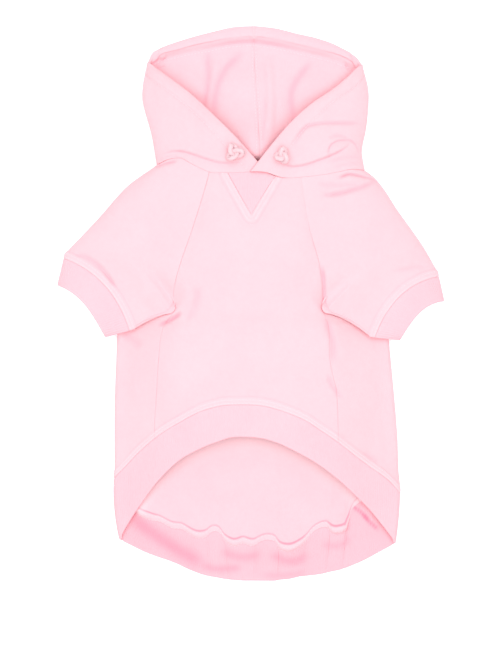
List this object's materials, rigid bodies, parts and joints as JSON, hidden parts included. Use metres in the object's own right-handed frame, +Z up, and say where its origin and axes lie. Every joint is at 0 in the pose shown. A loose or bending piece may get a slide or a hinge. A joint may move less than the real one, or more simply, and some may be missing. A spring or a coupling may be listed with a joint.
{
  "type": "dog hoodie",
  "caption": "Small dog's pullover hoodie with short raglan sleeves, ribbed cuffs and hem, a neck gusset and a drawcord hood, lying flat on its back.",
  "frame": {"origin": "centre of the bounding box, on the surface that the hoodie lies on", "axes": "+Y from the hem to the hood, +Z up from the surface, +X to the right seen from above"},
  "size_m": [0.3486, 0.4992, 0.0405],
  "materials": {
    "fleece": "pale pink brushed-back sweatshirt fleece",
    "rib": "pale pink two-by-two rib knit",
    "cord": "pink woven drawcord"
  },
  "bodies": {
    "root": {"front_panel": "fleece", "back_panel": "fleece", "sleeve_left": "fleece", "sleeve_right": "fleece", "hood_left": "fleece", "hood_right": "fleece", "cuff_left": "rib", "cuff_right": "rib", "hem_band": "rib", "neck_gusset": "rib", "knot_left": "cord", "knot_right": "cord"}
  },
  "joints": []
}
